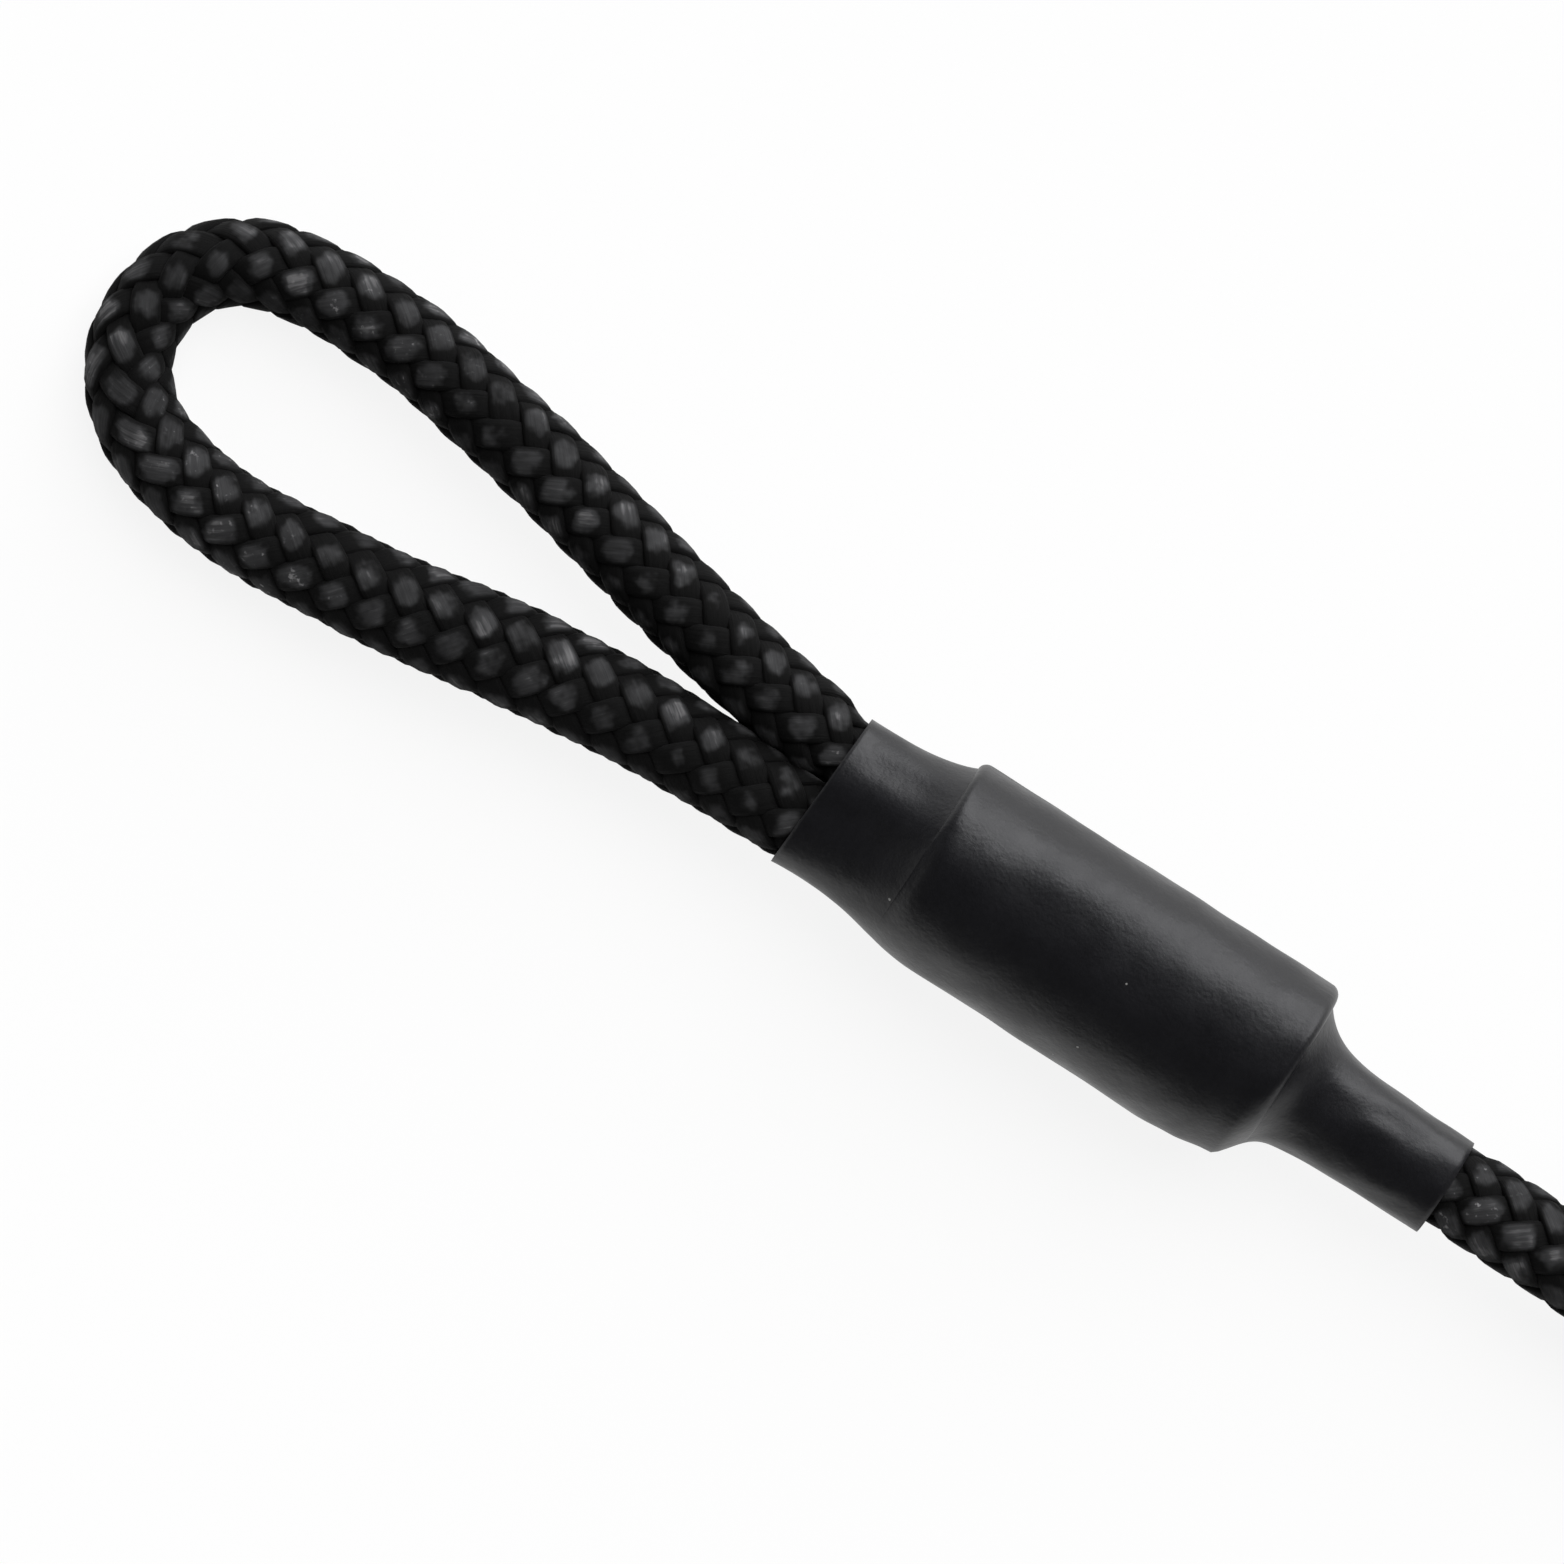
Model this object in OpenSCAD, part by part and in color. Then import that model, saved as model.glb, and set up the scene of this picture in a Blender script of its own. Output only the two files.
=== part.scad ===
// Short cord tether with a sleeved loop at each end.
// A braided cord is doubled back into a teardrop loop. Its two legs lie side by side in a round
// sleeve, locked with glue, and a heat-shrink tube is drawn down over sleeve, legs and cord.
//
// Assembly frame: X runs along the near tube's axis from the loop (-X) to the cord's exit (+X),
// X = 0 is the tube's mouth on the loop side, Z = 0 is the table. The whole model is then moved so
// that the near end stands centred on the origin.

/* [Cord] */
// Diameter of the free braided cord
cord_d = 4; // [3.6:0.1:4.4]
// Diameter of the bundle of core yarns
core_d = 2.4; // [1.6:0.1:2.6]
// How much thinner the two legs are where tube and sleeve squeeze them
leg_squeeze = 0.6; // [0.4:0.05:0.9]
// How much thinner the single cord is in the tube's narrow neck
neck_squeeze = 0.2; // [0.1:0.05:0.4]
// Gap between the two squeezed legs
leg_gap = 0.1; // [0.08:0.01:0.3]

/* [Loop] */
// Reach of the loop from the tube's mouth to its outer tip
loop_reach = 40; // [36:0.5:60]
// Radius of the tip, along the middle of the cord
tip_r = 5.1; // [4.6:0.1:7]
// Sideways shift of the tip's centre from the tube's axis
tip_shift = 1.2; // [0:0.1:2]
// Radius of the long curve between the tip and the upper leg
upper_r = 22.5; // [14:0.5:40]
// Where that curve takes over from the tip, as an angle round the tip
upper_turn = 103; // [98:1:125]
// Radius of the long curve between the tip and the lower leg
lower_r = 17.3; // [12:0.1:40]
// Where that curve takes over from the tip, as an angle round the tip
lower_turn = 109; // [98:1:125]
// Length over which a leg swells back to full diameter outside the tube
swell_l = 4; // [3.5:0.1:6]
// How far the upper leg bows in between the mouth and its long curve
upper_bow = 0.3; // [0:0.05:0.35]
// How far the lower leg bows in between the mouth and its long curve
lower_bow = 0.5; // [0:0.05:0.5]

/* [Sleeve] */
// Length of the sleeve
sleeve_l = 18.6; // [14:0.1:30]
// Wall of the sleeve
sleeve_wall = 0.5; // [0.3:0.05:1]
// Chamfer on the sleeve's edges
sleeve_chamfer = 0.2; // [0.05:0.05:0.25]
// How far the cut end of the cord reaches past the sleeve's front edge
tail_l = 10.8; // [6:0.1:12]
// Depth of the bare rim that the glue leaves at each end of the sleeve
glue_rim = 1; // [0.3:0.1:3]

/* [Shrink tube] */
// Wall of the shrunk tube
tube_wall = 0.4; // [0.25:0.05:0.7]
// Length of the flat neck over the two legs
leg_neck_l = 5.4; // [4:0.1:10]
// Length of the round neck over the single cord
cord_neck_l = 9.2; // [6:0.1:16]
// Height of the flat neck at its mouth
mouth_h = 4.9; // [4.6:0.1:6.5]
// Rounding of the tube over the sleeve's edges
edge_r = 0.6; // [0.45:0.05:0.8]
// Sideways shift of the cord where it leaves the tube
exit_shift = 0.35; // [0:0.05:0.4]

/* [Tie] */
// Width of the tie
tie_w = 5; // [3:0.5:5.5]
// Thickness of the tie's strap
tie_t = 0.7; // [0.4:0.05:0.75]
// Length of the strap's end that is lapped over itself
lap_l = 5; // [3:0.5:6]
// Distance of the tie from the end of the far tube
tie_inset = 0.5; // [0.2:0.1:1]
// Slack between the tie and what it holds
tie_slack = 0.05; // [0.02:0.01:0.1]

/* [Fit] */
// Radial clearance between pieces that lie in each other
fit = 0.02; // [0.01:0.01:0.05]

/* [Hidden] */
$fn = 64;

cord_r = cord_d / 2;
leg_d = cord_d - leg_squeeze;
neck_d = cord_d - neck_squeeze;
lane = (leg_d + leg_gap) / 2;

// Sleeve and tube: the sleeve's bore is as wide as two full cords.
bore_d = 2 * cord_d;
sleeve_d = bore_d + 2 * sleeve_wall;
barrel_r = sleeve_d / 2 + fit + tube_wall;
sleeve_x = leg_neck_l + tube_wall;
sleeve_end = sleeve_x + sleeve_l;
barrel_end = sleeve_end + tube_wall;
tube_l = barrel_end + cord_neck_l;
axis_z = barrel_r;

// The legs inside: the cut end stops in the sleeve, and the other leg slews over to the exit.
tail_x = sleeve_x + tail_l;
tail_gap = 0.4;
slew_start = tail_x + tail_gap;
slew_end = sleeve_end;
neck_taper = 2;

// The loop lies in a plane that hinges down at the mouth until the tip rests on the table.
drop = axis_z - cord_r;
tip_run = sqrt(pow(loop_reach - cord_r, 2) + drop * drop);
tilt = asin(drop / tip_run);
tip_x = tip_r - tip_run;

// One side of the loop, drawn as if it were the upper one: [curve's centre, radius, angle where
// the leg touches the curve, angle where the curve meets the tip, touching point, leg's bow].
function side_of(shift, radius, turn, bow) =
    let (centre = [tip_x, shift] - (radius - tip_r) * [cos(turn), sin(turn)],
         away = [0, lane] - centre,
         touch = atan2(away.y, away.x) + acos(radius / norm(away)))
    [centre, radius, touch, turn, centre + radius * [cos(touch), sin(touch)], bow];
upper = side_of(tip_shift, upper_r, upper_turn, upper_bow);
lower = side_of(-tip_shift, lower_r, lower_turn, lower_bow);

// How far the near end reaches to each side, which centres it on the origin.
top_y = max(upper[0].y + upper_r + cord_r, barrel_r);
low_y = max(lower[0].y + lower_r + cord_r, barrel_r);
to_origin = [(loop_reach - tube_l) / 2, (low_y - top_y) / 2, 0];

// The far end is the same again, laid beside the cord's fold.
far_at = [80, 9.5, 0];

// The cord of one end as a list of [x, y, full diameter or held diameter or neck diameter]: from
// the cut end through the lower leg, the tip and the upper leg to the exit.
FULL = 0;
HELD = 1;
NECK = 2;
tip_steps = 12;
curve_steps = 4;
slew_steps = 3;
function arc(centre, radius, from, to, steps) =
    [for (i = [0 : steps]) let (t = from + (to - from) * i / steps) centre + radius * [cos(t), sin(t)]];
function sized(points, size) = [for (p = points) [p.x, p.y, size]];
function reversed(list) = [for (i = [len(list) - 1 : -1 : 0]) list[i]];
// A leg runs from the mouth to the touching point and bows in over the first part of that way.
bow_share = 0.75;
bow_steps = [0.3, 0.5];
function leg_point(side, along) =
    let (way = side[4] - [0, lane], share = min(along / norm(way) / bow_share, 1))
    [0, lane] + along * unit(way) - [0, side[5] * sin(180 * share)];
function loop_side(side) = concat(
    [leg_point(side, swell_l)],
    [for (share = bow_steps) leg_point(side, share * norm(side[4] - [0, lane]))],
    arc(side[0], side[1], side[2], side[3], curve_steps)
);
slew = lane - exit_shift;
slew_turn = 2 * atan(slew / (slew_end - slew_start));
slew_r = (slew_end - slew_start) / 2 / sin(slew_turn);
cord_line = concat(
    sized([[tail_x, -lane], [0, -lane]], HELD),
    sized([for (p = loop_side(lower)) [p.x, -p.y]], FULL),
    sized([for (i = [1 : tip_steps - 1])
        arc([tip_x, tip_shift], tip_r, 360 - lower_turn, upper_turn, tip_steps)[i]], FULL),
    sized(reversed(loop_side(upper)), FULL),
    sized([[0, lane]], HELD),
    sized(reversed(arc([slew_start, lane - slew_r], slew_r, 90 - slew_turn, 90, slew_steps)), HELD),
    sized([for (i = [1 : slew_steps])
        arc([slew_end, exit_shift + slew_r], slew_r, 270 - slew_turn, 270, slew_steps)[i]], HELD),
    sized([[slew_end + neck_taper, exit_shift], [tube_l, exit_shift]], NECK)
);
// Points left of the mouth hinge down with the loop.
function hinged(p) = p.x < 0 ? [p.x * cos(tilt), p.y, p.x * sin(tilt)] : [p.x, p.y, 0];
cord_axis = [for (p = cord_line) hinged(p)];

// Film of the shrink tube: it falls off the sleeve's edge over a short length and then tightens
// slowly, so its radius is a base and two decaying terms.
fall_l = 0.25;
cord_neck_tighten = 2.3;
leg_neck_tighten = 1.3;
leg_neck_flatten = 1.8;
cord_neck_rise = 0.95;
leg_neck_rise = 0.4;
leg_neck_bulge = 1;
mouth_w = 2 * (lane + leg_d / 2 + fit + tube_wall);
mouth_power = 2.6;
neck_end_r = neck_d / 2 + fit + tube_wall;
shoulder_r = barrel_r - edge_r;
film_sides = 32;
function film(base, rise, tighten, away) =
    base + rise * exp(-away / tighten) + (shoulder_r - base - rise) * exp(-away / fall_l);
drape_share = [0.012, 0.03, 0.06, 0.1, 0.17, 0.28, 0.44, 0.68, 1];

// Stations of the film: [x, half width, half height, power of the outline, sideways shift].
function leg_neck_station(away, x0, thick) = [
    x0 - away,
    film(mouth_w / 2, leg_neck_rise, leg_neck_tighten, away) - thick,
    film(mouth_h / 2, leg_neck_bulge, leg_neck_flatten, away) - thick,
    mouth_power + (2 - mouth_power) * exp(-away / leg_neck_flatten),
    0
];
function barrel_station(x, r) = [x, r, r, 2, 0];
// The round neck is drawn over to where the cord leaves.
function cord_neck_station(away, x1, thick) =
    let (r = film(neck_end_r, cord_neck_rise, cord_neck_tighten, away) - thick)
    [x1 + away, r, r, 2, exit_shift * (1 - exp(-away / fall_l))];
// thick is 0 on the outside, and the tube's wall on the inside: the same line, shifted inwards.
function film_stations(thick, edge_angles) =
    let (x0 = leg_neck_l + thick, x1 = barrel_end - thick, r = barrel_r - thick, e = edge_r - thick)
    concat(
        [for (s = reversed(drape_share)) leg_neck_station(s * x0, x0, thick)],
        [for (t = edge_angles) barrel_station(x0 + e - e * cos(t), r - e + e * sin(t))],
        [for (t = reversed(edge_angles)) barrel_station(x1 - e + e * cos(t), r - e + e * sin(t))],
        [for (s = drape_share) cord_neck_station(s * (tube_l - x1), x1, thick)]
    );
function oval(a, b, power, sides) = [
    for (i = [0 : sides - 1])
        let (t = 360 * i / sides, c = cos(t), s = sin(t))
        [a * sign(c) * pow(abs(c), 2 / power), b * sign(s) * pow(abs(s), 2 / power)]
];

// Route of the free cord between the two exits. Its ends are the exits, and the rest is a hand
// laid fold: out of the near tube, down to the table, under the tie, round and up to the far tube.
exit_point = [tube_l, exit_shift, axis_z];
near_lead = 4;
far_lead = 1;
tied_y = 3.7;
tied_z = 2.8;
route = concat([exit_point, exit_point + [near_lead, 0, 0]], [
    [42, 0.3, 4.6], [46, 0.3, 3.9], [50, 0.2, 3.1], [55, 0.1, 2.3], [61, 0, 2], [70, 0, 2],
    [80, 0.5, 2], [90, 1.5, 2], [98, 2.7, 2.2], [105, tied_y, tied_z], [108, tied_y, tied_z],
    [111, tied_y, tied_z], [114, tied_y, tied_z], [117, tied_y, tied_z], [120.5, 2.9, 2.4],
    [123.8, 0.8, 2.1], [127.5, -2.3, 2], [133, -4, 2], [138.5, -2.5, 2], [142.5, 1.5, 2],
    [144, 7, 2], [142.5, 12.5, 2], [138.5, 16.5, 2.1], [133, 18, 2.6], [127.5, 16.5, 3.5],
    [123.5, 13.2, 4.3], [119, 10.4, 4.8]
], [far_at + exit_point + [far_lead, 0, 0], far_at + exit_point]);
route_sides = 10;
route_rings = 2;
cover_sides = 16;
core_sides = 10;

// Catmull-Rom curve through the route's points.
function ended(points) = concat([2 * points[0] - points[1]], points,
    [2 * points[len(points) - 1] - points[len(points) - 2]]);
function between(a, b, c, d, t) =
    b + t * ((c - a) + t * ((2 * a - 5 * b + 4 * c - d) + t * (3 * b - a - 3 * c + d))) / 2;
function curve(points, steps) = let (p = ended(points), last = len(p) - 4) concat(
    [for (i = [0 : last], j = [0 : steps - 1]) between(p[i], p[i + 1], p[i + 2], p[i + 3], j / steps)],
    [points[len(points) - 1]]
);
function unit(v) = v / norm(v);
function heading(line, i) = unit(line[min(i + 1, len(line) - 1)] - line[max(i - 1, 0)]);
function ring_at(centre, along, radius, sides) =
    let (across = unit(cross([0, 0, 1], along)), up = cross(along, across))
    [for (k = [0 : sides - 1])
        centre + radius * (cos(360 * k / sides) * across + sin(360 * k / sides) * up)];

// Quads between ring i and ring j, each of n points.
function band(i, j, n) = [for (k = [0 : n - 1]) [i * n + k, i * n + (k + 1) % n, j * n + (k + 1) % n, j * n + k]];

// A solid skinned over open rings, closed by its first and last ring.
module skinned_tube(rings) {
    n = len(rings[0]);
    last = len(rings) - 1;
    polyhedron(
        points = [for (r = rings) each r],
        faces = concat(
            [for (i = [0 : last - 1]) each band(i + 1, i, n)],
            [[for (k = [0 : n - 1]) k], [for (k = [n - 1 : -1 : 0]) last * n + k]]
        )
    );
}

// A solid skinned over rings that run out along the outside and back along the inside.
module skinned_shell(rings) {
    n = len(rings[0]);
    count = len(rings);
    polyhedron(
        points = [for (r = rings) each r],
        faces = [for (i = [0 : count - 1]) each band(i, (i + 1) % count, n)]
    );
}

// Rings of the looped cord: sizes are its full, held and neck diameters.
function cord_rings(sizes, sides) = [
    for (i = [0 : len(cord_axis) - 1])
        ring_at(cord_axis[i], heading(cord_axis, i), sizes[cord_line[i][2]] / 2, sides)
];

// Places a piece that is drawn round the tube's axis: at the near end, or at the far end.
module at_near() {
    translate(to_origin + [0, 0, axis_z]) children();
}
module at_far() {
    translate(far_at) at_near() children();
}

module braided_cover() {
    hole_d = core_d + 2 * fit;
    color("#1c1c20")
        skinned_shell(concat(
            cord_rings([cord_d, leg_d, neck_d], cover_sides),
            reversed(cord_rings([hole_d, hole_d, hole_d], cover_sides))
        ));
}

module core_yarns() {
    color("#e6e3da") skinned_tube(cord_rings([core_d, core_d, core_d], core_sides));
}

module round_sleeve() {
    color("#b9bcc0")
        translate([sleeve_x, 0, 0])
            rotate([0, 90, 0])
                rotate_extrude()
                    polygon([
                        [bore_d / 2, 0], [sleeve_d / 2 - sleeve_chamfer, 0], [sleeve_d / 2, sleeve_chamfer],
                        [sleeve_d / 2, sleeve_l - sleeve_chamfer], [sleeve_d / 2 - sleeve_chamfer, sleeve_l],
                        [bore_d / 2, sleeve_l]
                    ]);
}

// The glue fills the sleeve round the stretch where both legs lie straight.
module glue_plug() {
    glue_x = sleeve_x + glue_rim;
    glue_l = slew_start - glue_x;
    over = 1;
    color("#c9b98a")
        difference() {
            translate([glue_x, 0, 0])
                rotate([0, 90, 0])
                    cylinder(d = bore_d - 2 * fit, h = glue_l);
            for (side = [-1, 1])
                translate([glue_x - over, side * lane, 0])
                    rotate([0, 90, 0])
                        cylinder(d = leg_d + 2 * fit, h = glue_l + 2 * over);
        }
}

// One skin, out along the outside from the flat mouth to the round neck and back along the inside.
module drawn_tube() {
    stations = concat(
        film_stations(0, [0, 22.5, 45, 67.5, 90]),
        reversed(film_stations(tube_wall, [0, 45, 90]))
    );
    color("#2b2b2f")
        skinned_shell([for (s = stations)
            [for (p = oval(s[1], s[2], s[3], film_sides)) [s[0], s[4] + p.x, p.y]]]);
}

module loop_cover() { at_near() braided_cover(); }
module loop_core() { at_near() core_yarns(); }
module sleeve() { at_near() round_sleeve(); }
module glue_fill() { at_near() glue_plug(); }
module shrink_tube() { at_near() drawn_tube(); }
module far_loop_cover() { at_far() braided_cover(); }
module far_loop_core() { at_far() core_yarns(); }
module far_sleeve() { at_far() round_sleeve(); }
module far_glue_fill() { at_far() glue_plug(); }
module far_shrink_tube() { at_far() drawn_tube(); }

module free_cord() {
    line = curve(route, route_rings);
    color("#1c1c20")
        translate(to_origin)
            skinned_tube([for (i = [0 : len(line) - 1])
                ring_at(line[i], heading(line, i), cord_r, route_sides)]);
}

// Strap wrapped round the free cord and the far tube's neck, with its end lapped on top.
module cord_tie() {
    tie_x = far_at.x + tube_l - tie_inset - tie_w;
    neck_r = film(neck_end_r, cord_neck_rise, cord_neck_tighten, tie_x - far_at.x - barrel_end);
    neck_y = far_at.y + exit_shift;
    module wrap(grow) {
        hull() {
            translate([tied_y, tied_z]) circle(r = cord_r + tie_slack + grow);
            translate([neck_y, axis_z]) circle(r = neck_r + tie_slack + grow);
        }
    }
    module layer(number) {
        difference() {
            wrap((number + 1) * tie_t);
            wrap(number * tie_t);
        }
    }
    color("#26262a")
        translate(to_origin + [tie_x, 0, 0])
            rotate([90, 0, 90])
                linear_extrude(tie_w) {
                    layer(0);
                    intersection() {
                        layer(1);
                        translate([neck_y - lap_l / 2, axis_z]) square([lap_l, 2 * axis_z]);
                    }
                }
}

loop_cover();
loop_core();
sleeve();
glue_fill();
shrink_tube();
free_cord();
cord_tie();
far_loop_cover();
far_loop_core();
far_sleeve();
far_glue_fill();
far_shrink_tube();
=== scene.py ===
# %% [markdown]
# # A looped cord tether, dressed
# The part is a short braided cord. Each end is doubled back into a teardrop loop, and the two
# legs of the loop go side by side into a hidden metal sleeve that a black heat-shrink tube covers.
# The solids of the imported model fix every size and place. This notebook puts the real surfaces
# over them: the sixteen yarns of the braid, the shrunk film, the sleeve under it with its dented
# rim, and the strap that ties the fold.

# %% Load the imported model
import math

import bpy
import numpy as np
from mathutils import Matrix, Vector


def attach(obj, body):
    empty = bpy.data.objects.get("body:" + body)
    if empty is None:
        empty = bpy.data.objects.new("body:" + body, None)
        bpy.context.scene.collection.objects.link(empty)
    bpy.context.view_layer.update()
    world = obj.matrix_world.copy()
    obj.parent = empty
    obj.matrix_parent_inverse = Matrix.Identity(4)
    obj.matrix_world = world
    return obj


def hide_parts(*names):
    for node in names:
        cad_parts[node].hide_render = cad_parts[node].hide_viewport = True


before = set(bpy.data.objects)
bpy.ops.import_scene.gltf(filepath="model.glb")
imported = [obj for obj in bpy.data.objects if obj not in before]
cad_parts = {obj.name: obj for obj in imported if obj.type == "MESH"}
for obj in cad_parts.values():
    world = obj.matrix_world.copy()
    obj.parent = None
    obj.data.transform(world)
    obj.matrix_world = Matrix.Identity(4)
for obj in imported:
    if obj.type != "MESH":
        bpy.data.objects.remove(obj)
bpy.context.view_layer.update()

MM = 0.001

# %% [markdown]
# ## Sizes, as they are in the solids
# A dressed piece has to lie exactly where its solid lies, so the lengths that the solids are drawn
# from come first. They are in millimetres in the tube's own frame: X along the near tube from the
# loop to the cord's exit, Y to the side, X = 0 at the mouth on the loop side, Z = 0 on the table.
# `TO_ORIGIN` and `FAR_AT` carry a piece from there to the near end and to the far end.

# %% Sizes of cord, loop and tube
CORD_R, LEG_R, NECK_R = 2.0, 1.7, 1.9  # free, squeezed beside the other leg, in the round neck
LANE = 1.75  # from the tube's axis to the middle of each leg
AXIS_Z = 4.92
BARREL_R, WALL = 4.92, 0.4
MOUTH_TO_SHOULDER, BARREL_END, TUBE_L = 5.4, 24.8, 34.0
SLEEVE_START, SLEEVE_END, SLEEVE_R, BORE_R, CHAMFER = 5.8, 24.4, 4.5, 4.0, 0.2
EXIT_SHIFT = 0.35
TO_ORIGIN = np.array([3.0, -1.09064, 0.0])
FAR_AT = np.array([80.0, 9.5, 0.0])


def placed(points, far=False):
    """Points of the tube's frame in mm as points of the model's frame in metres."""
    return (np.asarray(points) + TO_ORIGIN + (FAR_AT if far else 0)) * MM


print("near exit in mm:", (placed([TUBE_L, EXIT_SHIFT, AXIS_Z]) / MM).round(2))

# %% [markdown]
# ## The camera
# A small flat thing is usually shown from straight above. The camera hangs well over the tube and
# is rolled, so that the tube runs down to the right. Its long lens keeps the loop, which lies a
# little lower, almost in the same scale.

# %% Camera
ROLL = math.radians(33.1)
VIEW_MM = 71.9
VIEW_CENTRE = np.array([-1.72, -0.90, AXIS_Z])
CAMERA_HEIGHT = 600.0
SENSOR_MM = 36

camera_data = bpy.data.cameras.new("top_camera")
camera_data.sensor_width = SENSOR_MM
camera_data.lens = SENSOR_MM * CAMERA_HEIGHT / VIEW_MM
camera_data.clip_start, camera_data.clip_end = 0.01, 10
camera = bpy.data.objects.new("top_camera", camera_data)
above = Matrix.Translation(placed(VIEW_CENTRE + [0, 0, CAMERA_HEIGHT]))
camera.matrix_world = above @ Matrix.Rotation(ROLL, 4, "Z")
bpy.context.scene.collection.objects.link(camera)
bpy.context.scene.camera = camera
print("lens in mm:", round(camera_data.lens, 1))

# %% [markdown]
# ## Where the cord runs
# A cord is first a line. The loop is made of arcs: a small one round the tip and a long one into
# each leg, and the legs bow in a little before they meet at the tube's mouth. Arcs and straight
# runs meet with kinks in their bend, which a cord hasn't, so each line is softened, and read again
# in even steps, so that a braid along it keeps its pitch.

# %% Lines: arcs, even steps and smoothing
LOOP_REACH, TIP_R, TIP_SHIFT = 40.0, 5.1, 1.2
UPPER = dict(shift=TIP_SHIFT, radius=22.5, turn=103.0, bow=0.3)
LOWER = dict(shift=-TIP_SHIFT, radius=17.3, turn=109.0, bow=0.5)
BOW_SHARE = 0.75  # the part of the leg that the bow takes up
DROP = AXIS_Z - CORD_R
TIP_RUN = math.hypot(LOOP_REACH - CORD_R, DROP)
TILT = math.asin(DROP / TIP_RUN)
TIP_X = TIP_R - TIP_RUN
SIDE_POINTS, TIP_POINTS, SLEW_POINTS = 40, 90, 12
SOFTEN = 0.8


def arc(centre, radius, start, end, count):
    """Points at centre plus radius times (cosine, sine) of evenly spaced angles, in degrees."""
    angle = np.radians(np.linspace(start, end, count))
    return np.asarray(centre) + radius * np.stack([np.cos(angle), np.sin(angle)], axis=1)


def side_of(shift, radius, turn, bow):
    """One side of the loop from the mouth to the tip: the leg is the tangent from (0, lane) to the
    long arc, moved inwards by bow times a half sine, and then come points of the arc."""
    way = np.radians(turn)
    centre = np.array([TIP_X, shift]) - (radius - TIP_R) * np.array([np.cos(way), np.sin(way)])
    away = np.array([0, LANE]) - centre
    touch = math.degrees(math.atan2(away[1], away[0]) + math.acos(radius / np.linalg.norm(away)))
    curve = arc(centre, radius, touch, turn, SIDE_POINTS)
    share = np.linspace(0, 1, SIDE_POINTS)[:, None]
    leg = np.array([0, LANE]) + share * (curve[0] - [0, LANE])
    leg = leg - np.array([0, bow]) * np.sin(np.pi * np.minimum(share / BOW_SHARE, 1))
    return np.concatenate([leg, curve[1:]])


def running(line):
    """How far along the line each of its points lies."""
    return np.concatenate([[0], np.cumsum(np.linalg.norm(np.diff(line, axis=0), axis=1))])


def even(line, step):
    """The line read at multiples of one step of its running length, both ends kept."""
    run = running(line)
    at = np.linspace(0, run[-1], max(2, round(run[-1] / step) + 1))
    return np.stack([np.interp(at, run, line[:, i]) for i in range(3)], axis=1)


def softened(line, reach, step=0.1):
    """The line in even steps, each point the bell-weighted mean of those within three reaches. The
    line is first carried on past its ends by its own mirror image, so that the ends stay."""
    line = even(line, step)
    n = int(3 * reach / step)
    bell = np.exp(-0.5 * (np.arange(-n, n + 1) * step / reach) ** 2)
    before = 2 * line[0] - line[n:0:-1]
    after = 2 * line[-1] - line[-2 : -n - 2 : -1]
    long = np.concatenate([before, line, after])
    return np.stack(
        [np.convolve(long[:, i], bell / bell.sum(), "valid") for i in range(3)], axis=1
    )


def length_of(path):
    """Sum of the steps of a path, in the path's own unit."""
    return float(np.linalg.norm(np.diff(path, axis=0), axis=1).sum())


print("tilt of the loop in degrees:", round(math.degrees(TILT), 2))

# %% [markdown]
# ## The looped cord
# The cord's cut end stops in the sleeve. From there the line goes out through the mouth, round the
# loop and back in, and past the cut end it slews over to the middle of the tube's other end. The
# loop's plane hinges down at the mouth, because the tip lies on the table while the tube's middle
# is up in the air.

# %% Line of the looped cord
TAIL_X, SLEW_START = 16.6, 17.0


def loop_line():
    """The looped cord's centreline in the tube's frame. Left of the mouth, x and y are laid in the
    plane that hinges down; inside the tube one leg slews over to the exit in two equal arcs."""
    upper, lower = side_of(**UPPER), side_of(**LOWER)
    tip = arc([TIP_X, TIP_SHIFT], TIP_R, 360 - LOWER["turn"], UPPER["turn"], TIP_POINTS)
    slew = LANE - EXIT_SHIFT
    turn = 2 * math.atan(slew / (SLEEVE_END - SLEW_START))
    radius = (SLEEVE_END - SLEW_START) / 2 / math.sin(turn)
    turn = math.degrees(turn)
    first = arc([SLEW_START, LANE - radius], radius, 90, 90 - turn, SLEW_POINTS)
    second = arc([SLEEVE_END, EXIT_SHIFT + radius], radius, 270 - turn, 270, SLEW_POINTS)
    cut_end, exit_end = [[TAIL_X, -LANE]], [[TUBE_L - 0.5, EXIT_SHIFT]]
    flat = np.concatenate(
        [cut_end, lower * [1, -1], tip[1:-1], upper[::-1], first, second[1:], exit_end]
    )
    x, y = flat.T
    outside = x < 0
    along = np.where(outside, x * np.cos(TILT), x)
    height = AXIS_Z + np.where(outside, x * np.sin(TILT), 0)
    return softened(np.stack([along, y, height], axis=1), SOFTEN)


LOOP = loop_line()
print("looped cord in mm:", round(length_of(LOOP), 1))
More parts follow.
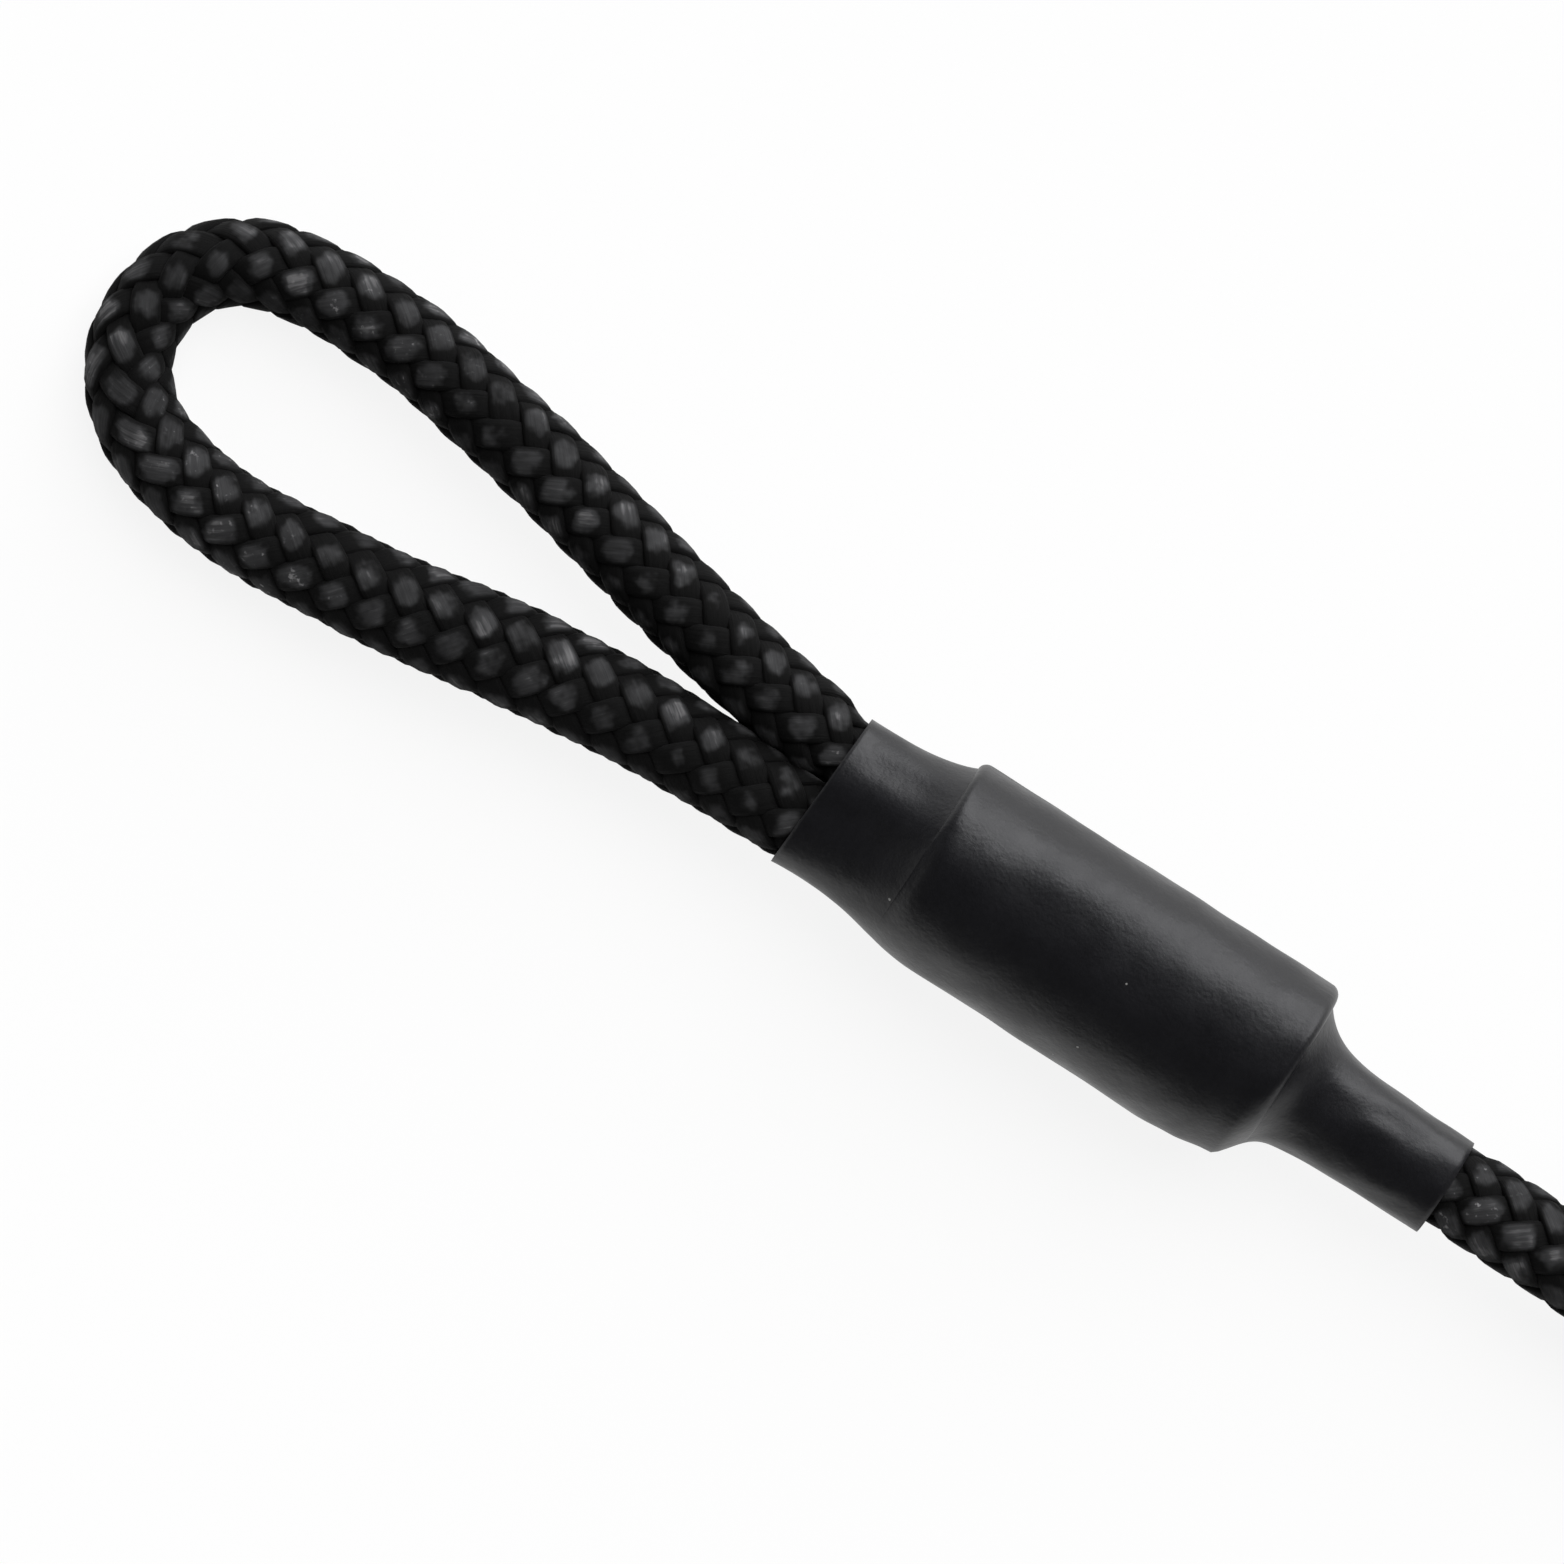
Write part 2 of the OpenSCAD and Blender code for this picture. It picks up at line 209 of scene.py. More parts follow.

# %% [markdown]
# ## The free cord
# The free cord hangs down from the near exit to the table, runs past the far tube, turns back in
# one fold and climbs into the far exit. A short row of points says where, and a Catmull-Rom
# curve goes through them.

# %% Line of the free cord
EXIT = np.array([TUBE_L, EXIT_SHIFT, AXIS_Z])
TIED = [3.7, 2.8]  # y and z of the cord where the tie holds it
ROUTE = np.array(
    [
        EXIT, EXIT + [4, 0, 0],
        [42, 0.3, 4.6], [46, 0.3, 3.9], [50, 0.2, 3.1], [55, 0.1, 2.3], [61, 0, 2], [70, 0, 2],
        [80, 0.5, 2], [90, 1.5, 2], [98, 2.7, 2.2], [105, *TIED], [108, *TIED], [111, *TIED],
        [114, *TIED], [117, *TIED], [120.5, 2.9, 2.4], [123.8, 0.8, 2.1], [127.5, -2.3, 2],
        [133, -4, 2], [138.5, -2.5, 2], [142.5, 1.5, 2], [144, 7, 2], [142.5, 12.5, 2],
        [138.5, 16.5, 2.1], [133, 18, 2.6], [127.5, 16.5, 3.5], [123.5, 13.2, 4.3],
        [119, 10.4, 4.8],
        FAR_AT + EXIT + [1, 0, 0], FAR_AT + EXIT,
    ]
)
INSIDE = np.array([1.5, 0, 0])  # how far the free cord goes on inside each neck


def catmull_rom(points, steps):
    """A cubic through every point whose slope there is half the way between its neighbours."""
    p = np.concatenate([[2 * points[0] - points[1]], points, [2 * points[-1] - points[-2]]])
    t = (np.arange(steps) / steps)[None, :, None]
    a, b, c, d = (p[i : len(p) - 3 + i, None] for i in range(4))
    curve = b + t * ((c - a) + t * ((2 * a - 5 * b + 4 * c - d) + t * (3 * b - a - 3 * c + d))) / 2
    return np.concatenate([curve.reshape(-1, 3), points[-1:]])


FREE = np.concatenate([[EXIT - INSIDE], catmull_rom(ROUTE, 16), [FAR_AT + EXIT - INSIDE]])
FREE = softened(FREE, SOFTEN)
print("free cord in mm:", round(length_of(FREE), 1))

# %% [markdown]
# ## From arrays to a mesh
# Every new piece here is a grid of points: rings along a path, and points round each ring. One
# function turns such grids into a mesh. It works out all faces as one array, gives each face corner
# its place on the surface as a UV, in round-the-ring shares and in millimetres along the path, and
# turns the faces over if they point inwards.

# %% Grid to mesh
def grid_faces(shape, along, ring_closed):
    """Point numbers, UVs and corner counts of all faces of grids shaped (copies, rings, around). A
    face joins four neighbours of a grid, and an open path gets a flat cap at each end."""
    copies, rings, around = shape
    g, i, j = np.meshgrid(
        np.arange(copies), np.arange(rings if ring_closed else rings - 1), np.arange(around),
        indexing="ij",
    )
    corners = [(i, j), (i, j + 1), (i + 1, j + 1), (i + 1, j)]
    index = np.stack([(g * rings + a % rings) * around + b % around for a, b in corners], -1)
    u = np.stack([b / around for _, b in corners], -1)
    reach = np.concatenate([along, along[:, :1]], 1) if ring_closed else along
    v = np.stack([reach[g, a] for a, _ in corners], -1)
    loops, uvs = index.reshape(-1), np.stack([u, v], -1).reshape(-1, 2)
    sizes = np.full(len(loops) // 4, 4)
    if not ring_closed:
        base = np.arange(copies)[:, None] * rings * around
        first = base + np.arange(around)[::-1]
        last = base + (rings - 1) * around + np.arange(around)
        caps = np.concatenate([first, last])
        cap_v = np.repeat(np.concatenate([along[:, 0], along[:, -1]]), around)
        loops = np.concatenate([loops, caps.reshape(-1)])
        uvs = np.concatenate([uvs, np.stack([(caps % around).reshape(-1) / around, cap_v], -1)])
        sizes = np.concatenate([sizes, np.full(2 * copies, around)])
    return index.reshape(-1, 4), loops, uvs, sizes


def grid_mesh(name, grids, along, ring_closed=False):
    """A mesh of grids shaped (copies, rings, around, 3). Rings are closed round; the path is closed
    too, or capped. Its faces point outwards: the sum of corner . (corner x corner) over all
    triangles, which is six times the volume, has to be positive."""
    quads, loops, uvs, sizes = grid_faces(grids.shape[:3], along, ring_closed)
    points = grids.reshape(-1, 3)
    a, b, c, d = (points[quads[:, k]] for k in range(4))
    volume = np.einsum("ij,ij->", a, np.cross(b, c)) + np.einsum("ij,ij->", a, np.cross(c, d))
    starts = np.concatenate([[0], np.cumsum(sizes)[:-1]])
    if volume < 0:
        order = starts.repeat(sizes) * 2 + sizes.repeat(sizes) - 1 - np.arange(len(loops))
        loops, uvs = loops[order], uvs[order]
    mesh = bpy.data.meshes.new(name)
    mesh.vertices.add(len(points))
    mesh.vertices.foreach_set("co", points.astype(np.float32).ravel())
    mesh.loops.add(len(loops))
    mesh.loops.foreach_set("vertex_index", loops.astype(np.int32))
    mesh.polygons.add(len(sizes))
    mesh.polygons.foreach_set("loop_start", starts.astype(np.int32))
    mesh.polygons.foreach_set("use_smooth", sizes == 4)
    mesh.uv_layers.new(name="surface").data.foreach_set("uv", uvs.astype(np.float32).ravel())
    mesh.update()
    mesh.validate()
    piece = bpy.data.objects.new(name, mesh)
    bpy.context.scene.collection.objects.link(piece)
    print(f"{name}: {int((sizes - 2).sum())} triangles, {len(points)} points")
    return piece


# %% [markdown]
# ## What a braid needs
# A braid follows its line, so it needs to know at each place which way is on, aside and up. Real
# yarns also wander a little from their places, by smooth random curves with a fixed seed. And a
# soft cord gives way where it lies on the table or against another cord, instead of cutting in.

# %% Frame along a line, wandering and pressing
def unit(v):
    """A vector divided by its length, for one vector or a whole array of them."""
    return v / np.linalg.norm(v, axis=-1, keepdims=True)


def line_frame(line):
    """At each point of the line: the direction it goes, the direction to its side (up x along) and
    the direction over it (along x side). The cord never stands upright, so up is always +Z."""
    along = unit(np.gradient(line, axis=0))
    side = unit(np.cross([0.0, 0.0, 1.0], along))
    return along, side, np.cross(along, side)


def wander(rng, count, length, step):
    """count smooth random curves: random values every step mm along the length, joined by cosines.
    Returns a function of (curve's number, place along)."""
    knots = rng.standard_normal((count, int(length / step) + 3))

    def read(number, at):
        place = np.asarray(at) / step
        i = np.floor(place).astype(int)
        t = (1 - np.cos(np.pi * (place - i))) / 2
        return knots[number, i] * (1 - t) + knots[number, i + 1] * t

    return read


def pressed(height, give=0.04, clear=0.6):
    """Heights over a plane that something soft is pressed on: give times ln(1 + exp(height /
    give)), which is the height itself further off and never less than nothing."""
    near = np.minimum(height, clear)
    return np.where(height < clear, give * np.log1p(np.exp(near / give)), height)


def rounded(t, power):
    """A cosine or sine raised to 2 / power with its sign kept: 2 gives a circle, more a slab."""
    return np.sign(t) * np.abs(t) ** (2 / power)


print("1 mm under the table becomes, in mm:", float(pressed(np.array(-1.0)).round(6)))

# %% [markdown]
# ## The braid
# A round cord of this kind is braided on a machine with sixteen bobbins. Eight run round it one
# way and eight the other way, and each yarn goes over two and under two. A weave painted on a
# smooth tube looks flat at the edge of the cord, so here the yarns themselves are swept. Over two
# and under two round sixteen yarns has a simple form: how far a yarn stands out depends only on
# where it is round the cord, four waves to a turn, and the two directions ride in opposite waves.
# That gives the eight bands of short slanted stitches that such a cord shows.

# %% Yarns swept round the line
YARNS = 16
WAVES, PHASE = 4, np.pi / 4  # waves to a turn, and where round the cord they start
LAY = 15.6  # mm of cord for one turn of a yarn
YARN_W, YARN_T = 1.30, 0.50
RIDE = 0.24  # how far a yarn rises and sinks about its middle radius
CREST_R = 2.12  # radius of the highest crests on a full cord
SLAB = 3  # the power that rounds a yarn's section
SECTION = 12  # points round it
SWELL, SPREAD, VARY = 0.12, 0.05, 0.03  # thicker and wider on top, and uneven in width
DRIFT, DRIFT_STEP = 0.03, 3.1  # sideways wandering in radians, and its step in mm
LIFT, LIFT_STEP = 0.018, 1.3  # the same up and down, in mm
APART = 50  # mm within which the yarns' UVs start, so that no two look alike


def braid(name, line, shape, turned, seed, per_lay, settle=None):
    """Sixteen yarns round a line. Yarn i of a direction is at the angle 2 pi (i / 8 +- s / lay).
    Its middle is at radius middle +- ride cos(4 angle - phase), so the two directions change places
    four times a turn. The wave is flattened to 1.5 w - 0.5 w^3, so that a yarn stays up over both
    yarns that it crosses. Its cross-section is a flat slab with round edges, |x/a|^3 + |y/b|^3 = 1,
    laid across the yarn's own direction and fuller where the yarn rides on top. shape gives, along
    s, factors on the cord's width and height and the middle's shift to the side, turned gives the
    angle of the whole cord, and settle moves the points that touch something. The plain wave is
    kept as the attribute crest, which tells the finish where a yarn rides on top."""
    rng = np.random.default_rng(seed)
    line = even(line, LAY / per_lay)
    s = np.arange(len(line)) * np.linalg.norm(line[1] - line[0])
    along, side, over = line_frame(line)
    hand = np.repeat([1, -1], YARNS // 2)[:, None]
    number = np.tile(np.arange(YARNS // 2), 2)[:, None]
    yarn = np.arange(YARNS)[:, None]
    drift = wander(rng, YARNS, s[-1], DRIFT_STEP)
    lift = wander(rng, YARNS, s[-1], LIFT_STEP)
    angle = 2 * np.pi * (number / (YARNS // 2) + hand * s / LAY)
    plain_wave = hand * np.cos(WAVES * angle - PHASE)
    wave = 1.5 * plain_wave - 0.5 * plain_wave**3
    angle = angle + turned(s) + DRIFT * drift(yarn, s)
    width, height, aside = shape(s)
    middle = CREST_R - (1 + SWELL) * YARN_T / 2 - RIDE + RIDE * wave + LIFT * lift(yarn, s)
    line = line + aside[:, None] * side
    cos, sin = np.cos(angle), np.sin(angle)
    centre = (
        line + (middle * cos * width)[..., None] * side + (middle * sin * height)[..., None] * over
    )
    out = unit((cos / width)[..., None] * side + (sin / height)[..., None] * over)
    way = unit(np.gradient(centre, axis=1))
    across = unit(np.cross(way, out))
    outward = np.cross(across, way)
    turn = 2 * np.pi * np.arange(SECTION) / SECTION - np.pi / 2
    size = np.sqrt(width * height)
    wide = size * YARN_W / 2 * (1 + SPREAD * wave + VARY * drift(yarn, s))
    thick = size * YARN_T / 2 * (1 + SWELL * wave)
    grid = (
        centre[:, :, None]
        + wide[..., None, None] * rounded(np.cos(turn), SLAB)[:, None] * across[:, :, None]
        + thick[..., None, None] * rounded(np.sin(turn), SLAB)[:, None] * outward[:, :, None]
    )
    along_mm = s[None, :] + rng.uniform(0, APART, (YARNS, 1))
    if settle:
        grid = settle(grid, s)
    grid[..., 2] = pressed(grid[..., 2])
    piece = grid_mesh(name, grid * MM, along_mm)
    # The crest also tells the yarn's finish where to paint its highlight.
    crest = piece.data.attributes.new("crest", "FLOAT", "POINT")
    crest.data.foreach_set("value", plain_wave.astype(np.float32).repeat(SECTION))
    return piece, line * MM


# %% [markdown]
# ## How full the cord is
# A braided cord is soft: it is thin where film or sleeve squeezes it, and lies flatter and wider on
# a loose leg than round the tight tip. It is also twisted a little. So width, height, sideways
# shift and turn are read from a few values along the cord's own length `s`, which is 0 at the cut
# end, 17 at the mouth, 57 at the tip and 99 back at the mouth.

# %% Shapes of the cords
BRAID_R = 0.965 * CREST_R
IN_TUBE = LEG_R / BRAID_R
IN_NECK = NECK_R / BRAID_R
TIP_S, MOUTH_S = 57, 98.6
WIDTH_AT = [16, 17, 22, 32, 40, 46, 54, 60, 66, 74, 84, 98, 99]
WIDTH_MM = [3.4, 4.33, 4.45, 4.8, 4.58, 4.28, 4.05, 3.97, 4.05, 4.14, 4.22, 4.17, 3.4]
HEIGHT_AT, FULL_HEIGHT = [16, 17.5, 97.5, 99], 1.04
ASIDE_AT, ASIDE_MM = [20, 33, 45, 60, 70, 85, 95], [0, -0.18, 0, 0.25, 0, 0.18, 0]
TURNED_AT, TURNED = [16, 42, 57, 70, 86], [0.30, 0.14, 0.46, 0.84, 0.80]
MEET, OVERLAP = 0.045, 0.14  # slope of the plane where the legs meet, and mm each goes past it
TOUCH_X, SINK_X, SINK_RUN = -9, -6.5, 2.5  # where they can touch, and where they sink in
FREE_TURN, FREE_WIDTH = 0.7, 1.03


def ease(x, start, length):
    """0 up to the start, 1 from start + length on, and 3 t squared minus 2 t cubed between, where t
    is the share of the length that x has gone."""
    t = np.clip((x - start) / length, 0, 1)
    return t * t * (3 - 2 * t)


def loop_shape(s):
    """Factors on width and height, and the shift to the loop's outside in mm. The cord is drawn in
    within a mm of the mouth, and outside it the lower leg lies flattest and widest."""
    wide = np.interp(s, WIDTH_AT, WIDTH_MM) / (2 * BRAID_R)
    high = np.interp(s, HEIGHT_AT, [IN_TUBE, FULL_HEIGHT, FULL_HEIGHT, IN_TUBE])
    neck = ease(s - MOUTH_S, SLEEVE_END, 2)
    wide, high = (f * (1 + (IN_NECK / IN_TUBE - 1) * neck) for f in (wide, high))
    return wide, high, np.interp(s, ASIDE_AT, ASIDE_MM)


def turned_in_loop(s):
    """The cord turns by a few tenths of a radian on its way round the tip. Straight lines between
    angles at places along it."""
    return np.interp(s, TURNED_AT, TURNED)


def legs_touch(move):
    """Makes the function that presses the loop's two legs flat against each other where they meet.
    The plane between them leans from the tube's axis to the middle of the gap. Close to the mouth
    each leg goes on a little past the plane, so that their yarns sink into each other and no light
    comes through."""

    def settle(grid, s):
        x, y = grid[..., 0] - move[0], grid[..., 1] - move[1]
        leg = np.where(s < TIP_S, -1, 1)[None, :, None]
        apart = (y + MEET * np.minimum(x, 0)) * leg + OVERLAP * ease(x, SINK_X, SINK_RUN)
        grid[..., 1] += np.where(x > TOUCH_X, (pressed(apart) - apart) * leg, 0)
        return grid

    return settle


def free_shape(s):
    """As thin as the neck at both ends, and full two mm outside the tube."""
    near_end = np.minimum(s, s[-1] - s)
    full = IN_NECK + (1 - IN_NECK) * ease(near_end, INSIDE[0], 2)
    return full * FREE_WIDTH, full, 0 * s


loop_braid, loop_path = braid(
    "loop_braid", LOOP + TO_ORIGIN, loop_shape, turned_in_loop, seed=4, per_lay=60,
    settle=legs_touch(TO_ORIGIN),
)
far_loop_braid, far_loop_path = braid(
    "far_loop_braid", LOOP + TO_ORIGIN + FAR_AT, loop_shape, turned_in_loop, seed=5, per_lay=60,
    settle=legs_touch(TO_ORIGIN + FAR_AT),
)
free_braid, free_path = braid(
    "free_braid", FREE + TO_ORIGIN, free_shape, lambda s: FREE_TURN + 0 * s, seed=6, per_lay=54
)

# %% [markdown]
# ## Outline of the shrunk film
# Heat-shrink tube is stretched plastic that pulls itself tight when it is warmed. Over the sleeve
# it is a plain cylinder. Past each edge it closes on the cord like a skin under tension, fast at
# first and ever slower: its radius is a base and a decaying exponential. One side shrank first and
# turns down sharply at the sleeve's edges. The other bridges the front edge in a long slope, and
# its back corner is round, where the sleeve's rim is dented. So the two sides have outlines of
# their own, and a third one gives the height.

# %% Outline of the film
EDGE_R = 0.5
FRONT, BACK = MOUTH_TO_SHOULDER + 0.1, BARREL_END + 0.3
DENT_START, DENT = 22.2, 0.55
SIDE_LIP, TOP_LIP = 4.55, 4.45  # the reaches from which the film turns down past an edge
LEGS_SIDE, LEGS_TOP = 3.75, 2.3  # what the film closes on over the two legs
CORD_SIDE, CORD_TOP, NECK_RISE = 2.6, 2.4, 1.75  # over the one cord, and how far it comes down
SOFT_MOUTH, SOFT_RISE, SOFT_CORD = 4.15, 0.7, 2.26  # to -Y: at the mouth, up to the barrel, cord
RIM_STEPS = ((0.1, 20), (0.3, 22))  # depth and place of the two steps down over the dented rim
SIDE_OUT, CONE = 0.06, 0.009  # mm that the barrel's side stands out, and more of it each mm
BOXY = 2.15  # power of the section over the legs; 2 is round
CROWD = 2.2  # the power that crowds the stations near the sleeve's edges
FINE = dict(neck_steps=60, edge_steps=9, barrel_steps=70)
COARSE = dict(neck_steps=24, edge_steps=4, barrel_steps=12)


def closing(away, first, last, tighten):
    """A fall from first to last: last + (first - last) exp(-away / tighten)."""
    return last + (first - last) * np.exp(-away / tighten)


def cord_neck(away):
    """Reaches to +Y and upwards, away mm past the back edge."""
    side, top = closing(away, NECK_RISE, 0, 1.23), closing(away, NECK_RISE, 0, 1.1)
    return CORD_SIDE + side, CORD_TOP + top


def soft_side(x):
    """Reach to -Y. From the mouth's slightly flared rim it rises over the front edge in one smooth
    step. It follows the sleeve's dented rim down in two small ones, and from there the rest of the
    barrel falls off as exp(-(distance / 1.05) ^ 1.7) to the neck."""
    barrel = SOFT_MOUTH + SOFT_RISE * ease(x, 2.2, 5.5) + closing(x, 0.07, 0, 0.5)
    for depth, start in RIM_STEPS:
        barrel = barrel - depth * ease(x, start, 2)
    neck = SOFT_CORD + 0.3 * np.exp((BACK + 0.9 - x) / 3.5)
    held = np.exp(-((np.maximum(x - 24, 0) / 1.05) ** 1.7))
    return neck + (barrel - neck) * held


def film_outline(thick, neck_steps, edge_steps, barrel_steps):
    """Rows of x, reach to +Y, reach to -Y, reach upwards and power, from the mouth to the end.
    thick is 0 on the outside and the wall on the inside, where the same line lies further in, but
    nowhere further than the sleeve. Each reach is a row of parts: neck over the legs, front edge,
    barrel, back edge, neck over the cord."""
    x0, x1, e = FRONT + thick, BACK - thick, EDGE_R - thick
    share = np.linspace(0, 1, neck_steps + 1)[1:] ** CROWD
    t = np.linspace(0, np.pi / 2, edge_steps)
    leg_away, cord_away = x0 * share[::-1], (TUBE_L - x1) * share
    front, back = e * (1 - np.cos(t)), e * np.cos(t[::-1])
    x = np.linspace(x0 + e, x1 - e, barrel_steps + 2)[1:-1]
    full = BARREL_R + SIDE_OUT + CONE * (x - x0)
    side, top = cord_neck(cord_away)
    plus = [
        closing(leg_away, SIDE_LIP, LEGS_SIDE, 1.6),
        SIDE_LIP + (full[0] - SIDE_LIP) * np.sin(t),
        full,
        full[-1] - EDGE_R * (1 - np.sin(t[::-1])),
        side,
    ]
    high = [
        closing(leg_away, TOP_LIP, LEGS_TOP, 2.6),
        closing(front, TOP_LIP, BARREL_R, 0.55),
        closing(x - x0, TOP_LIP, BARREL_R, 0.55),
        BARREL_R - EDGE_R * (1 - np.sin(t[::-1])),
        top,
    ]
    power = [closing(leg_away, 2, BOXY, 1.8), 2 + 0 * np.concatenate([t, x, t, share])]
    x = np.concatenate([x0 - leg_away, x0 + front, x, x1 - e + back, x1 + cord_away])
    plus, high, power = (np.concatenate(part) for part in (plus, high, power))
    minus = soft_side(x) - thick
    held = (thick > 0) & (x > FRONT) & (x < DENT_START)
    minus = np.where(held, np.maximum(minus, BARREL_R - WALL), minus)
    return np.stack([x, plus - thick, minus, high - thick, power], axis=1)


print("film stations:", len(film_outline(0, **FINE)))

# %% [markdown]
# ## The film as a skin
# The outline is carried round as one closed skin, out along the outside and back along the inside,
# so the film has its real thickness at both cut ends. The outside then gets what a plain cylinder
# hasn't: low waves, a small sag at the top of the mouth, the raised fold that bridges the gap
# between the two legs, and the roll of the front shoulder, where the film bulges on top and
# is stretched flat beside it. The cut of the mouth leans a little, as scissors leave it.

# %% Film as one skin
FILM_SIDES = 112
INSIDE_V = 60  # mm by which the inner skin's UV is set apart from the outer one's
RIPPLES = 16
RIPPLE, SAG, FOLD, ROLL, LEAN = 0.006, 0.1, 0.42, 0.15, 0.17  # heights and lean in mm
FOLD_L, FOLD_Y, FOLD_W = 5.6, 0.85, 1.15  # how far the fold runs in, its middle, its half width


def bell(distance, width):
    """exp(-(distance / width) ^ 2), which is 1 in the middle."""
    return np.exp(-((distance / width) ** 2))


def shrink_film(name, far, seed):
    """The outline carried round: half the sum of the two reaches to the sides times the cosine,
    plus half their difference, and the height times the sine, both raised to 2 / power with their
    signs. Relief in mm is added outwards on the outer skin: cosines for the waves, and bells for
    sag, fold and roll."""
    rng = np.random.default_rng(seed)
    outer = film_outline(0, **FINE)
    rows = np.concatenate([outer, film_outline(WALL, **COARSE)[::-1]])
    turn = 2 * np.pi * np.arange(FILM_SIDES) / FILM_SIDES
    x, plus, minus, high, power = (rows[:, i, None] for i in range(5))
    y = (plus + minus) / 2 * rounded(np.cos(turn), power)
    z = high * rounded(np.sin(turn), power)
    outside = (np.arange(len(rows)) < len(outer))[:, None]
    upside = np.sin(turn) > 0
    waves = sum(
        np.cos(n * turn + k * x + rng.uniform(0, 6.28))
        for n, k in zip(rng.integers(2, 13, RIPPLES), rng.normal(0, 1.3, RIPPLES))
    )
    sag = bell(x, 3.5) * bell(np.abs(np.sin(turn)) - 1, 0.06)
    fold = np.exp(-((x / FOLD_L) ** 6)) * bell(y - FOLD_Y, FOLD_W) * upside
    shoulder = ease(x, 5.6, 0.8) * (1 - ease(x, 7.5, 5)) * upside
    rolled = shoulder * (bell(y, np.where(y > 0, 1.8, 3.5)) - bell(y - 3.6, 1.3))
    relief = outside * (RIPPLE * waves - SAG * sag + FOLD * fold + ROLL * rolled)
    size = np.hypot(y, z)
    y, z = y * (1 + relief / size), z * (1 + relief / size)
    lean = LEAN * np.cos(turn) * np.exp(-x / 1.5)
    grid = np.stack([x + lean, y + (plus - minus) / 2, pressed(z + AXIS_Z)], axis=-1)
    along = rows[None, :, 0] + np.where(outside.T, 0, INSIDE_V)
    return grid_mesh(name, placed(grid, far)[None], along, ring_closed=True)


near_film = shrink_film("near_shrink_film", far=False, seed=11)
far_film = shrink_film("far_shrink_film", far=True, seed=12)

# %% [markdown]
# ## The sleeve
# The sleeve is cut from thin aluminium tube, with its edges broken. Its back rim was pushed in on
# the side to -Y, and the film over it shows that as a rounded corner. So it is made again as a
# mesh with that dent, and stays inside the film.

# %% Sleeve with a dented rim
SLEEVE_SIDES = 96


def dented_sleeve(name, far):
    """A tube with chamfered edges. Past the dent's start its side to -Y is pushed in by the dent's
    depth times two smooth steps, one along the sleeve and one from its middle to its side."""
    a, b, mid = SLEEVE_START, SLEEVE_END, np.linspace(SLEEVE_START + 1, SLEEVE_END - 0.7, 24)
    outer = np.concatenate([[a, a + CHAMFER], mid, [b - CHAMFER, b]])
    outer_r = np.full(len(outer), SLEEVE_R)
    outer_r[[0, -1]] -= CHAMFER
    bore = np.concatenate([[b], mid[::-1], [a]])
    x = np.concatenate([outer, bore])[:, None]
    r = np.concatenate([outer_r, 0 * bore + BORE_R])[:, None]
    turn = 2 * np.pi * np.arange(SLEEVE_SIDES) / SLEEVE_SIDES
    y, z = r * np.cos(turn), r * np.sin(turn)
    y = y + DENT * ease(x, DENT_START, b - DENT_START) * ease(-y, 1, 3)
    grid = placed(np.stack([x + 0 * y, y, z + AXIS_Z], axis=-1), far)[None]
    return grid_mesh(name, grid, x[None, :, 0], ring_closed=True)


near_sleeve = dented_sleeve("near_dented_sleeve", far=False)
far_sleeve = dented_sleeve("far_dented_sleeve", far=True)

# %% [markdown]
# ## The tie
# The fold of the cord is held to the far tube by a strip of hook-and-loop tape, as such leads are
# packed. It goes once round cord and tube on the shortest way, which is the outline of two circles
# with their two common tangents, and its end then climbs onto its own start by one thickness.

# %% Strap wrapped round cord and tube
TIE_W, TIE_T, TIE_X = 5.0, 0.7, 108.5
TIE_SLACK = 0.05
LAP, CLIMB = 5.0, 1.2  # length of the lapped end, and the run in which it climbs
TIE_SECTION, TIE_SLAB = 24, 6


def belt(y1, z1, r1, y2, z2, r2, step):
    """The closed outline round two circles, seen along X: an arc of each circle between the angles
    at which the common tangents touch, joined by straight runs. Returned in even steps."""
    away = math.atan2(z2 - z1, y2 - y1)
    lean = math.acos((r1 - r2) / math.hypot(y2 - y1, z2 - z1))
    big = np.linspace(away - lean, away + lean, 60)
    small = np.linspace(away + lean, away - lean + 2 * np.pi, 40)
    tube = np.stack([y2 + r2 * np.cos(big), z2 + r2 * np.sin(big)], 1)
    cord = np.stack([y1 + r1 * np.cos(small), z1 + r1 * np.sin(small)], 1)
    ring = np.concatenate([tube, cord, tube[:1]])
    run = running(ring)
    at = np.arange(0, run[-1], step)
    return np.stack([np.interp(at, run, ring[:, i]) for i in (0, 1)], 1), run[-1]


